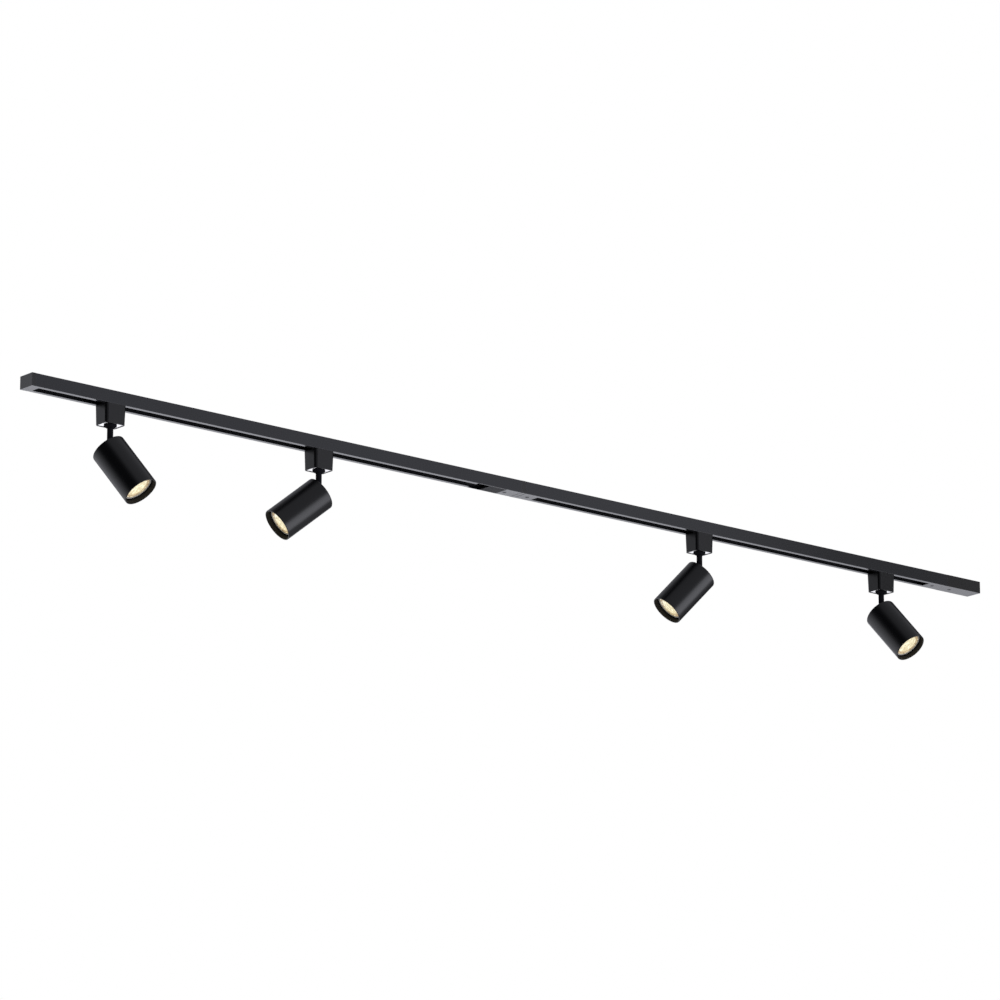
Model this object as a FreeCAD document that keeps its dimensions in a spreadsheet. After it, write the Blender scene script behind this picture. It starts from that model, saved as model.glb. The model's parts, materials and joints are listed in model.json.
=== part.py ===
import FreeCAD, Part
import os
import re

import Sketcher

# Ceiling track light: two one-metre rails joined end to end, a blank cap at one end, a live
# feed at the other, and four spot heads that slide along the slot, swivel and tilt.
# Frame: +X along the rails towards the live end, +Z up, origin on the ceiling face at mid-length.

# Driving sizes in millimetres and degrees: alias, value, meaning.
SIZES = [
    ("rail_length", 1000.0, "length of each rail"),
    ("rail_width", 33.0, "outside width of the rail"),
    ("rail_height", 21.5, "outside height of the rail"),
    ("rail_side", 1.5, "thickness of a rail's side wall"),
    ("rail_web", 1.6, "thickness of the web against the ceiling"),
    ("lip_thick", 1.5, "thickness of a lip"),
    ("seam_wide", 1.2, "width of the seam grooves where joiner and rails meet"),
    ("seam_deep", 0.8, "depth of the seam grooves"),
    ("rail_edge", 0.5, "rounding of the rail's long outside edges"),
    ("slot_width", 18.0, "clear width between the lips"),
    ("hole_radius", 2.25, "radius of a ceiling screw hole"),
    ("hole_inset", 100.0, "screw hole to the end of its rail"),
    ("insulator_gap", 0.5, "insulator set back from the slot edge"),
    ("insulator_drop", 15.5, "ceiling face to the insulator's lower edge"),
    ("conductor_drop", 10.0, "ceiling face to the conductor's centre"),
    ("conductor_deep", 1.5, "conductor thickness across the rail"),
    ("conductor_tall", 2.0, "conductor height"),
    ("conductor_back", 2.0, "insulator left behind a conductor"),
    ("groove_tall", 3.4, "height of the groove that a blade reaches into"),
    ("blade_thick", 1.2, "thickness of a contact blade"),
    ("blade_wide", 6.0, "width of a contact blade along the rail"),
    ("blade_gap", 0.3, "sliding blade tip to conductor"),
    ("blade_root", 1.5, "blade root to the mid-plane"),
    ("cap_flange", 8.0, "end cap thickness outside the rail"),
    ("cap_tongue", 10.0, "end cap length inside the rail"),
    ("tongue_gap", 0.1, "tongue to slot edge"),
    ("tongue_tall", 15.0, "height of a tongue from the rail's lower face"),
    ("joiner_flange", 9.0, "joiner thickness between the rails"),
    ("joiner_tongue", 32.0, "joiner length inside each rail"),
    ("window_length", 27.0, "open length of the service notch"),
    ("cover_length", 36.0, "length of the notch cover"),
    ("cover_thick", 3.0, "thickness of the notch cover"),
    ("cover_gap", 0.1, "notch cover to the rail's side walls"),
    ("joiner_screw_near", 7.0, "joiner screw to its tongue's end, first rail"),
    ("joiner_screw_far", 16.0, "joiner screw to its tongue's end, second rail"),
    ("live_length", 74.0, "live end housing length"),
    ("live_wall", 1.8, "live end housing wall"),
    ("live_tongue", 39.0, "live end length inside the rail"),
    ("live_cover_thick", 1.6, "live end bottom cover thickness"),
    ("live_cover_gap", 0.1, "live end cover to the housing walls"),
    ("live_screw_tongue", 24.0, "tongue screw to the rail's end"),
    ("live_screw_cover", 20.0, "cover screw to the rail's end"),
    ("live_boss_radius", 4.6, "screw boss radius in the live end"),
    ("plate_thick", 9.0, "live end plate thickness"),
    ("cable_hole_radius", 6.0, "supply cable hole radius"),
    ("cable_hole_inset", 14.0, "supply cable hole to the end plate"),
    ("terminal_length", 22.0, "terminal block length"),
    ("terminal_width", 18.0, "terminal block width"),
    ("terminal_tall", 11.0, "terminal block height"),
    ("terminal_wire_radius", 1.8, "terminal block wire hole radius"),
    ("terminal_gap", 4.0, "screw boss to terminal block"),
    ("screw_radius", 2.0, "screw shank radius"),
    ("screw_head_radius", 3.6, "screw head radius"),
    ("screw_head_tall", 2.0, "screw head height"),
    ("screw_length", 9.0, "screw length"),
    ("head_1_along", 156.0, "first head to the first rail's outer end"),
    ("head_2_along", 423.0, "second head to the first rail's inner end"),
    ("head_3_along", 409.0, "third head to the second rail's inner end"),
    ("head_4_along", 152.0, "fourth head to the second rail's outer end"),
    ("head_1_swivel", 301.5, "first head's turn about the vertical"),
    ("head_2_swivel", 159.5, "second head's turn about the vertical"),
    ("head_3_swivel", 158.5, "third head's turn about the vertical"),
    ("head_4_swivel", 285.0, "fourth head's turn about the vertical"),
    ("head_1_tilt", 37.0, "first head's tilt from straight down"),
    ("head_2_tilt", 50.5, "second head's tilt from straight down"),
    ("head_3_tilt", 42.5, "third head's tilt from straight down"),
    ("head_4_tilt", 40.0, "fourth head's tilt from straight down"),
    ("housing_length", 39.5, "adapter housing length along the rail, at its top"),
    ("housing_height", 32.6, "adapter housing height"),
    ("housing_wall", 2.4, "adapter housing wall at its top"),
    ("housing_roof", 2.0, "adapter housing top thickness"),
    ("housing_taper", 1.45, "adapter housing draft angle"),
    ("housing_corner", 5.0, "adapter housing corner radius"),
    ("cavity_corner", 2.8, "adapter cavity corner radius"),
    ("housing_edge", 0.5, "rounding of the adapter housing's lower edge"),
    ("housing_gap", 0.1, "adapter housing to the rail's lower face"),
    ("neck_width", 14.0, "adapter neck width, both ways"),
    ("neck_tall", 15.6, "adapter neck height above its housing"),
    ("lug_reach", 4.0, "lug reach over a lip"),
    ("lug_thick", 2.5, "lug thickness"),
    ("plate_recess", 0.8, "adapter base plate set up from the rim"),
    ("plate_sheet", 1.5, "adapter base plate thickness"),
    ("plate_gap", 0.1, "adapter base plate to the housing walls"),
    ("latch_thick", 4.0, "latch tip thickness"),
    ("latch_gap", 0.4, "latch to what it slides past"),
    ("latch_rise", 1.4, "latch tip above the lips' upper face"),
    ("latch_travel", 4.0, "latch travel"),
    ("latch_leg", 1.7, "latch leg thickness"),
    ("latch_leg_width", 12.0, "latch leg width"),
    ("latch_leg_drop", 22.0, "latch leg bottom below the housing top"),
    ("tab_tall", 6.0, "thumb tab height"),
    ("tab_width", 10.0, "thumb tab width"),
    ("tab_reach", 2.5, "thumb tab outside the housing"),
    ("pivot_drop", 95.0, "ceiling face to the tilt axis"),
    ("stem_radius", 5.0, "stem radius"),
    ("stem_bore", 3.0, "wire bore radius in the stem"),
    ("stem_solid", 9.0, "solid stem length above the tilt axis"),
    ("swivel_gap", 0.1, "stem to the base plate's hole"),
    ("hub_radius", 10.5, "hub radius at its top"),
    ("hub_foot", 6.8, "hub radius at its foot"),
    ("hub_rim", 2.0, "hub height at its full radius"),
    ("hub_tall", 4.4, "hub height"),
    ("hub_gap", 0.2, "hub to base plate"),
    ("nut_radius", 9.0, "swivel nut radius"),
    ("nut_tall", 3.0, "swivel nut height"),
    ("nut_gap", 0.15, "swivel nut to base plate"),
    ("stem_rise", 1.5, "stem above the swivel nut"),
    ("can_radius", 29.0, "lamp can outside radius"),
    ("can_length", 96.0, "lamp can length"),
    ("can_wall", 2.0, "lamp can side wall"),
    ("can_back", 3.0, "lamp can back wall"),
    ("can_edge", 1.8, "lamp can back edge rounding"),
    ("can_lip", 0.6, "lamp can front edge rounding"),
    ("hinge_inset", 5.0, "lamp can back to the tilt axis"),
    ("yoke_gap", 0.5, "stem to the can's hinge slot"),
    ("slot_reach", 24.5, "end of the can's hinge slot from the lamp's axis"),
    ("boss_thick", 6.5, "hinge boss thickness along the pin"),
    ("boss_width", 9.0, "hinge boss width"),
    ("pin_radius", 2.0, "hinge pin radius"),
    ("pin_gap", 0.08, "hinge pin to stem"),
    ("bulb_recess", 9.0, "bulb front set back in the can"),
    ("bulb_radius", 25.0, "bulb radius at its rim"),
    ("bulb_length", 50.0, "bulb length without pins"),
    ("bulb_rim", 5.0, "bulb rim height"),
    ("bulb_waist", 14.0, "bulb radius where its cone ends"),
    ("bulb_foot", 12.0, "bulb base radius"),
    ("bulb_foot_tall", 8.0, "bulb base height"),
    ("bulb_pin_radius", 2.4, "bulb pin radius"),
    ("bulb_pin_length", 7.0, "bulb pin length"),
    ("bulb_pin_pitch", 10.0, "bulb pin spacing"),
    ("lens_radius", 22.5, "lens radius"),
    ("lens_thick", 3.0, "lens thickness at its middle"),
    ("lens_crown", 1.0, "lens crown height"),
    ("lens_inset", 0.4, "lens crown below the bulb's rim"),
    ("holder_radius", 13.0, "lamp holder radius"),
    ("holder_tall", 17.0, "lamp holder height"),
]

# Values that follow from the driving sizes.
DERIVED = {
    "total_length": "cap_flange + 2 * rail_length + joiner_flange + live_length + plate_thick",
    "left_end": "-total_length / 2",
    "rail_a_start": "left_end + cap_flange",
    "rail_a_end": "rail_a_start + rail_length",
    "rail_b_start": "rail_a_end + joiner_flange",
    "rail_b_end": "rail_b_start + rail_length",
    "live_end": "rail_b_end + live_length",
    "half_width": "rail_width / 2",
    "half_slot": "slot_width / 2",
    "inner_half": "half_width - rail_side",
    "lip_top": "-rail_height + lip_thick",
    "tongue_half": "half_slot - tongue_gap",
    "insulator_in": "half_slot + insulator_gap",
    "conductor_out": "inner_half - conductor_back",
    "conductor_in": "conductor_out - conductor_deep",
    "head_1_x": "rail_a_start + head_1_along",
    "head_2_x": "rail_a_end - head_2_along",
    "head_3_x": "rail_b_start + head_3_along",
    "head_4_x": "rail_b_end - head_4_along",
    "housing_top": "-rail_height - housing_gap",
    "housing_bottom": "housing_top - housing_height",
    "cavity_x": "housing_length / 2 - housing_wall",
    "cavity_y": "half_width - housing_wall",
    "plate_low": "housing_bottom + plate_recess",
    "plate_high": "plate_low + plate_sheet",
    "neck_half": "neck_width / 2",
    "latch_half": "half_slot - latch_gap",
    "latch_outer": "cavity_x - latch_gap - latch_leg",
    "latch_inner": "latch_outer - latch_thick",
    "latch_top": "lip_top + latch_rise",
    "latch_bridge_low": "housing_top - housing_roof - latch_travel",
    "leg_low": "housing_top - latch_leg_drop",
    "window_low": "leg_low - latch_travel - latch_gap",
    "window_high": "leg_low + tab_tall + latch_gap",
    "hub_top": "pivot_drop + plate_low - hub_gap",
    "nut_low": "pivot_drop + plate_high + nut_gap",
    "stem_top": "nut_low + nut_tall + stem_rise",
    "yoke_half": "stem_radius + yoke_gap",
    "can_inner": "can_radius - can_wall",
    "can_front": "hinge_inset - can_length",
    "back_inner": "hinge_inset - can_back",
    "bulb_front": "can_front + bulb_recess",
    "bulb_back": "bulb_front + bulb_length",
    "holder_top": "bulb_back + holder_tall",
    "lens_low": "bulb_front + lens_inset",
    "lens_edge": "lens_low + lens_crown",
    "lens_high": "lens_low + lens_thick",
}

WORD = re.compile(r"[a-z]\w*")
ALIASES = {alias for alias, _, _ in SIZES}
DOC = FreeCAD.newDocument("TrackLight")
SUB_PARTS = []


def expand(text):
    """Write a formula of size names as a FreeCAD expression on the sheet's cells."""

    def swap(match):
        word = match.group(0)
        if word in ALIASES:
            return "Sizes." + word
        if word in DERIVED:
            return "(" + expand(DERIVED[word]) + ")"
        return word

    return WORD.sub(swap, str(text))


def make_sheet():
    """Put every driving size in the spreadsheet, with its alias and meaning."""
    sheet = DOC.addObject("Spreadsheet::Sheet", "Sizes")
    for row, (alias, value, meaning) in enumerate(SIZES, start=1):
        sheet.set("A%d" % row, meaning)
        sheet.set("B%d" % row, str(value))
        sheet.setAlias("B%d" % row, alias)
    DOC.recompute()
    return sheet


SHEET = make_sheet()


def value_of(text):
    """Present value of a formula."""
    result = SHEET.evalExpression(expand(text))
    return float(getattr(result, "Value", result))


def bind(item, **formulas):
    """Bind properties to formulas; a double underscore in a name stands for a dot."""
    for name, text in formulas.items():
        item.setExpression(name.replace("__", "."), expand(text))
    return item


def sub_part(label, item):
    """Register a finished piece; its label names its file."""
    item.Label = label
    SUB_PARTS.append(item)
    return item


# ---------------------------------------------------------------- sketches and bodies

def new_body(label, place=None):
    """Make a PartDesign body, placed by an expression when it rides on a head."""
    body = DOC.addObject("PartDesign::Body", label)
    if place:
        body.setExpression("Placement", place)
    return body


def new_sketch(body, plane, height="0"):
    """Attach a sketch to one of the body's origin planes, at a height along its normal."""
    sketch = body.newObject("Sketcher::SketchObject", body.Name + "_sketch")
    support = [item for item in body.Origin.OriginFeatures if item.Role == plane][0]
    sketch.AttachmentSupport = [(support, "")]
    sketch.MapMode = "FlatFace"
    bind(sketch, AttachmentOffset__Base__z=height)
    return sketch


def pin_point(sketch, geometry, position, x=None, y=None):
    """Fix a sketch point at formulas measured from the sketch's origin."""
    for kind, text in (("DistanceX", x), ("DistanceY", y)):
        if text is None:
            continue
        rule = Sketcher.Constraint(kind, -1, 1, geometry, position, value_of(text))
        index = sketch.addConstraint(rule)
        sketch.setExpression("Constraints[%d]" % index, expand(text))


def draw_outline(sketch, points, arcs=()):
    """Draw a closed outline. arcs holds the corners whose next side bulges about the V axis."""
    spots = [FreeCAD.Vector(value_of(x), value_of(y), 0) for x, y in points]
    starts = []
    for index, (x, y) in enumerate(points):
        here = spots[index]
        there = spots[(index + 1) % len(spots)]
        if index in arcs:
            geometry = sketch.addGeometry(arc_about_axis(here, there), False)
            begins_here = sketch.Geometry[geometry].StartPoint.distanceToPoint(here) < 1e-6
            starts.append((geometry, 1 if begins_here else 2, 2 if begins_here else 1))
            pin_point(sketch, geometry, 3, x="0")
        else:
            geometry = sketch.addGeometry(Part.LineSegment(here, there), False)
            starts.append((geometry, 1, 2))
    for index, (geometry, first, last) in enumerate(starts):
        following, following_first, _ = starts[(index + 1) % len(starts)]
        sketch.addConstraint(
            Sketcher.Constraint("Coincident", geometry, last, following, following_first))
        pin_point(sketch, geometry, first, *points[index])


def arc_about_axis(here, there):
    """Arc between two points whose centre lies on the sketch's vertical axis."""
    rise = (there.x ** 2 + there.y ** 2 - here.x ** 2 - here.y ** 2) / (2 * (there.y - here.y))
    radius = ((here.x ** 2) + (here.y - rise) ** 2) ** 0.5
    middle = FreeCAD.Vector((here.x + there.x) / 2, (here.y + there.y) / 2 - rise, 0)
    middle = middle.normalize() * radius + FreeCAD.Vector(0, rise, 0)
    return Part.Arc(here, middle, there)


def draw_box(sketch, x_low, x_high, y_low, y_high):
    """Draw a rectangle between four formulas."""
    draw_outline(sketch, [(x_low, y_low), (x_high, y_low), (x_high, y_high), (x_low, y_high)])


def draw_circle(sketch, x, y, radius):
    """Draw a circle at formulas."""
    centre = FreeCAD.Vector(value_of(x), value_of(y), 0)
    circle = Part.Circle(centre, FreeCAD.Vector(0, 0, 1), value_of(radius))
    geometry = sketch.addGeometry(circle, False)
    pin_point(sketch, geometry, 3, x, y)
    index = sketch.addConstraint(Sketcher.Constraint("Radius", geometry, value_of(radius)))
    sketch.setExpression("Constraints[%d]" % index, expand(radius))


def pad(body, sketch, length, both_ways=False):
    """Add material along the sketch's normal, or half each way."""
    feature = body.newObject("PartDesign::Pad", body.Name + "_pad")
    feature.Profile = sketch
    feature.Midplane = both_ways
    return bind(feature, Length=length)


def pocket(body, sketch, length, both_ways=False):
    """Cut material along the sketch's normal, or half each way."""
    feature = body.newObject("PartDesign::Pocket", body.Name + "_pocket")
    feature.Profile = sketch
    feature.Midplane = both_ways
    feature.Reversed = not both_ways
    return bind(feature, Length=length)


def revolve(body, sketch):
    """Turn a sketch once about its vertical axis."""
    feature = body.newObject("PartDesign::Revolution", body.Name + "_turned")
    feature.Profile = sketch
    feature.ReferenceAxis = (sketch, ["V_Axis"])
    feature.Angle = 360
    return feature


def round_edges(body, radius, chosen):
    """Round the edges of the body's present shape that a test picks."""
    DOC.recompute()
    base = body.Tip
    names = ["Edge%d" % number for number, edge in enumerate(base.Shape.Edges, start=1)
             if chosen(edge)]
    feature = body.newObject("PartDesign::Fillet", body.Name + "_round")
    feature.Base = (base, names)
    return bind(feature, Radius=radius)


def is_outside_corner(edge):
    """True for an edge along X at one of the rail section's outside corners."""
    size = edge.BoundBox
    side = abs(abs(size.YMin) - value_of("half_width")) < 1e-6
    return side and size.XLength > 1 and size.YLength < 1e-6 and size.ZLength < 1e-6


def stands_at(edge, across, along):
    """True for an upright edge at one of the four corners of a box about the Z axis."""
    size = edge.BoundBox
    return is_upright(edge) and abs(abs(size.XMin) - across) < 1e-6 \
        and abs(abs(size.YMin) - along) < 1e-6


def is_foot(edge, height, across, along):
    """True for an edge at a height that reaches outside a box about the Z axis."""
    size = edge.BoundBox
    outside = max(abs(size.XMin), abs(size.XMax)) > across + 0.1 \
        or max(abs(size.YMin), abs(size.YMax)) > along + 0.1
    return size.ZMax < height + 1e-6 and outside


def is_rim(edge, height, radius):
    """True for a circle about Z at a height, wider than a radius."""
    size = edge.BoundBox
    return abs(size.ZMin - height) < 1e-6 and abs(size.ZMax - height) < 1e-6 \
        and size.XLength > 2 * radius


def is_upright(edge):
    """True for an edge that runs mainly along Z."""
    size = edge.BoundBox
    return size.ZLength > 4 * max(size.XLength, size.YLength)


# ---------------------------------------------------------------- primitives and booleans

def block(name, x_low, x_high, y_low, y_high, z_low, z_high):
    """Box between six formulas."""
    item = DOC.addObject("Part::Box", name)
    bind(item, Placement__Base__x=x_low, Placement__Base__y=y_low, Placement__Base__z=z_low)
    return bind(item, Length="(%s) - (%s)" % (x_high, x_low), Width="(%s) - (%s)" % (y_high, y_low),
                Height="(%s) - (%s)" % (z_high, z_low))


def rod(name, x, y, z_low, radius, height):
    """Upright cylinder at formulas."""
    item = DOC.addObject("Part::Cylinder", name)
    bind(item, Placement__Base__x=x, Placement__Base__y=y, Placement__Base__z=z_low)
    return bind(item, Radius=radius, Height=height)


def cut(name, base, tools):
    """Base less its tools."""
    for number, tool in enumerate(tools, start=1):
        step = DOC.addObject("Part::Cut", "%s_cut_%d" % (name, number))
        step.Base = base
        step.Tool = tool
        base = step
    return base


def fuse(name, shapes):
    """Pieces made into one solid."""
    item = DOC.addObject("Part::MultiFuse", name + "_fused")
    item.Shapes = shapes
    item.Refine = True
    return item


def group(name, shapes):
    """Separate solids kept under one name."""
    item = DOC.addObject("Part::Compound", name + "_group")
    item.Links = shapes
    return item


# ---------------------------------------------------------------- the track

def make_rail(letter, start, notched):
    """Inverted channel with two lips, ceiling screw holes and, on one rail, a lip notch."""
    name = "rail_" + letter
    body = new_body(name)
    bind(body, Placement__Base__x=start)
    section = new_sketch(body, "YZ_Plane")
    draw_outline(section, [
        ("-half_width", "0"), ("-half_width", "-rail_height"), ("-half_slot", "-rail_height"),
        ("-half_slot", "lip_top"), ("-inner_half", "lip_top"), ("-inner_half", "-rail_web"),
        ("inner_half", "-rail_web"), ("inner_half", "lip_top"), ("half_slot", "lip_top"),
        ("half_slot", "-rail_height"), ("half_width", "-rail_height"), ("half_width", "0")])
    pad(body, section, "rail_length")
    round_edges(body, "rail_edge", is_outside_corner)
    holes = new_sketch(body, "XY_Plane", "-rail_web")
    draw_circle(holes, "hole_inset", "0", "hole_radius")
    draw_circle(holes, "rail_length - hole_inset", "0", "hole_radius")
    pocket(body, holes, "rail_web")
    if notched:
        notch = new_sketch(body, "XY_Plane", "-rail_height")
        draw_box(notch, "rail_length - joiner_tongue - cover_length - window_length",
                 "rail_length - joiner_tongue", "-inner_half", "inner_half")
        pocket(body, notch, "lip_thick")
    sub_part(name, body)


def make_insulators(letter, start):
    """Pair of insulating strips inside a rail, each with a groove for its conductor."""
    name = "insulators_" + letter
    strips = []
    for word, sign in (("near", "-"), ("far", "")):
        sides = (sign + "inner_half", sign + "insulator_in")
        low, high = sides if sign else reversed(sides)
        strip = block("%s_%s" % (name, word), start, start + " + rail_length",
                      low, high, "-insulator_drop", "-rail_web")
        sides = (sign + "conductor_out", sign + "insulator_in")
        low, high = sides if sign else reversed(sides)
        groove = block("%s_%s_groove" % (name, word), start, start + " + rail_length", low, high,
                       "-conductor_drop - groove_tall / 2", "-conductor_drop + groove_tall / 2")
        strips.append(cut("%s_%s" % (name, word), strip, [groove]))
    sub_part(name, group(name, strips))


def make_conductors(letter, start):
    """Pair of copper bars at the bottom of the insulators' grooves."""
    name = "conductors_" + letter
    bars = []
    for word, low, high in (("near", "-conductor_out", "-conductor_in"),
                            ("far", "conductor_in", "conductor_out")):
        bars.append(block("%s_%s" % (name, word), start, start + " + rail_length", low, high,
                          "-conductor_drop - conductor_tall / 2",
                          "-conductor_drop + conductor_tall / 2"))
    sub_part(name, group(name, bars))


def full_section(name, start, end):
    """Solid block with the rail's outside section."""
    return block(name, start, end, "-half_width", "half_width", "-rail_height", "0")


def tongue(name, start, end):
    """Block that fills the slot flush with the lips."""
    return block(name, start, end, "-tongue_half", "tongue_half",
                 "-rail_height", "-rail_height + tongue_tall")


def blade_channel(name, start, end):
    """Passage through a tongue for a pair of fixed blades."""
    return block(name, start, end, "-tongue_half", "tongue_half",
                 "-conductor_drop - blade_thick / 2", "-conductor_drop + blade_thick / 2")


def seam(name, along):
    """Groove across the lower face, half to each side of a place along X."""
    return block(name, along + " - seam_wide / 2", along + " + seam_wide / 2",
                 "-half_width", "half_width", "-rail_height", "-rail_height + seam_deep")


def screw_room(name, along):
    """Space that one screw takes, head down and flush with the lower face."""
    head = DOC.addObject("Part::Cone", name + "_head")
    bind(head, Placement__Base__x=along, Placement__Base__z="-rail_height",
         Radius1="screw_head_radius", Radius2="screw_radius", Height="screw_head_tall")
    shank = rod(name + "_shank", along, "0", "-rail_height", "screw_radius", "screw_length")
    return fuse(name, [head, shank])


def screw_places():
    """Where the four screws of the track stand along X."""
    return ["rail_a_end - joiner_tongue + joiner_screw_near",
            "rail_b_start + joiner_tongue - joiner_screw_far",
            "rail_b_end - live_screw_tongue",
            "rail_b_end + live_screw_cover"]


def make_end_cap():
    """Blank end cap: a flange and a short tongue."""
    flange = full_section("end_cap_flange", "left_end", "rail_a_start")
    insert = tongue("end_cap_tongue", "rail_a_start", "rail_a_start + cap_tongue")
    sub_part("end_cap", fuse("end_cap", [flange, insert]))


def make_joiner():
    """Straight joiner: a flange between the rails and a tongue in each of them."""
    flange = full_section("joiner_flange", "rail_a_end", "rail_b_start")
    insert = tongue("joiner_tongue", "rail_a_end - joiner_tongue", "rail_b_start + joiner_tongue")
    solid = fuse("joiner", [flange, insert])
    channel = blade_channel("joiner_channel", "rail_a_end - blade_wide",
                            "rail_b_start + blade_wide")
    first, second = screw_places()[:2]
    tools = [channel, screw_room("joiner_screw_hole_a", first),
             screw_room("joiner_screw_hole_b", second),
             seam("joiner_seam_a", "rail_a_end"), seam("joiner_seam_b", "rail_b_start")]
    sub_part("joiner_body", cut("joiner", solid, tools))
    sub_part("joiner_links", group("joiner_links", [
        block("joiner_link_near", "rail_a_end - blade_wide", "rail_b_start + blade_wide",
              "-tongue_half", "-blade_root",
              "-conductor_drop - blade_thick / 2", "-conductor_drop + blade_thick / 2"),
        block("joiner_link_far", "rail_a_end - blade_wide", "rail_b_start + blade_wide",
              "blade_root", "tongue_half",
              "-conductor_drop - blade_thick / 2", "-conductor_drop + blade_thick / 2")]))
    sub_part("joiner_cover", group("joiner_cover", [
        block("joiner_cover_slab", "rail_a_end - joiner_tongue - cover_length",
              "rail_a_end - joiner_tongue", "-inner_half + cover_gap", "inner_half - cover_gap",
              "-rail_height", "-rail_height + cover_thick")]))


def make_live_end():
    """Live feed: hollow housing with a tongue, a bottom cover, an end plate and terminals."""
    shell = full_section("live_shell", "rail_b_end", "live_end")
    hollow = block("live_hollow", "rail_b_end + live_wall", "live_end",
                   "-half_width + live_wall", "half_width - live_wall",
                   "-rail_height", "-live_wall")
    insert = tongue("live_tongue", "rail_b_end - live_tongue", "rail_b_end + live_wall")
    boss = rod("live_boss", "rail_b_end + live_screw_cover", "0", "-rail_height + live_cover_thick",
               "live_boss_radius", "rail_height - live_cover_thick - live_wall")
    solid = fuse("live_housing", [cut("live_shell", shell, [hollow]), insert, boss])
    channel = blade_channel("live_channel", "rail_b_end - 2 * blade_wide",
                            "rail_b_end + live_wall")
    cable_hole = rod("live_cable_hole", "live_end - cable_hole_inset", "0", "-live_wall",
                     "cable_hole_radius", "live_wall")
    third, fourth = screw_places()[2:]
    tools = [channel, cable_hole, screw_room("live_screw_hole_a", third),
             screw_room("live_screw_hole_b", fourth)]
    sub_part("live_housing", cut("live_housing", solid, tools))
    lid = block("live_lid", "rail_b_end + live_wall + live_cover_gap", "live_end - live_cover_gap",
                "-half_width + live_wall + live_cover_gap",
                "half_width - live_wall - live_cover_gap",
                "-rail_height", "-rail_height + live_cover_thick")
    sub_part("live_cover", cut("live_cover", lid, [screw_room("live_lid_hole", fourth)]))
    sub_part("live_end_plate", group("live_end_plate", [
        full_section("live_plate", "live_end", "live_end + plate_thick")]))
    blades = []
    for word, low, high in (("near", "-tongue_half", "-blade_root"),
                            ("far", "blade_root", "tongue_half")):
        blades.append(block("live_blade_" + word, "rail_b_end - 2 * blade_wide",
                            "rail_b_end + live_screw_cover - live_boss_radius - terminal_gap",
                            low, high, "-conductor_drop - blade_thick / 2",
                            "-conductor_drop + blade_thick / 2"))
    sub_part("live_contacts", group("live_contacts", blades))
    start = "rail_b_end + live_screw_cover + live_boss_radius + terminal_gap"
    body = block("terminal_body", start, start + " + terminal_length",
                 "-terminal_width / 2", "terminal_width / 2",
                 "-live_wall - terminal_tall", "-live_wall")
    bores = []
    for word, side in (("near", "-terminal_width / 4"), ("far", "terminal_width / 4")):
        bore = DOC.addObject("Part::Cylinder", "terminal_bore_" + word)
        bore.Placement.Rotation = FreeCAD.Rotation(FreeCAD.Vector(0, 1, 0), 90)
        bind(bore, Placement__Base__x=start, Placement__Base__y=side,
             Placement__Base__z="-live_wall - terminal_tall / 2",
             Radius="terminal_wire_radius", Height="terminal_length")
        bores.append(bore)
    sub_part("terminal_block", cut("terminal_block", body, bores))


def make_track_screws():
    """The four identical screws that hold the joiner, the live end and its cover."""
    screws = [screw_room("track_screw_%d" % number, along)
              for number, along in enumerate(screw_places(), start=1)]
    sub_part("track_screws", group("track_screws", screws))


# ---------------------------------------------------------------- a spot head

def on_rail(number):
    """Placement of what slides along the rail with a head."""
    return expand("placement(vector(head_%d_x; 0; 0); rotation(vector(0; 0; 1); 0))" % number)


def on_swivel(number):
    """Placement of what turns about the vertical, with its origin on the tilt axis."""
    return expand("placement(vector(head_%d_x; 0; -pivot_drop);"
                  " rotation(vector(0; 0; 1); head_%d_swivel))" % (number, number))


def on_lamp(number):
    """Placement of what tilts, with its origin on the tilt axis and the beam along -Z."""
    return expand("placement(vector(head_%d_x; 0; -pivot_drop);"
                  " rotation(vector(0; 0; 1); head_%d_swivel)"
                  " * rotation(vector(0; 1; 0); -head_%d_tilt))" % (number, number, number))


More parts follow.
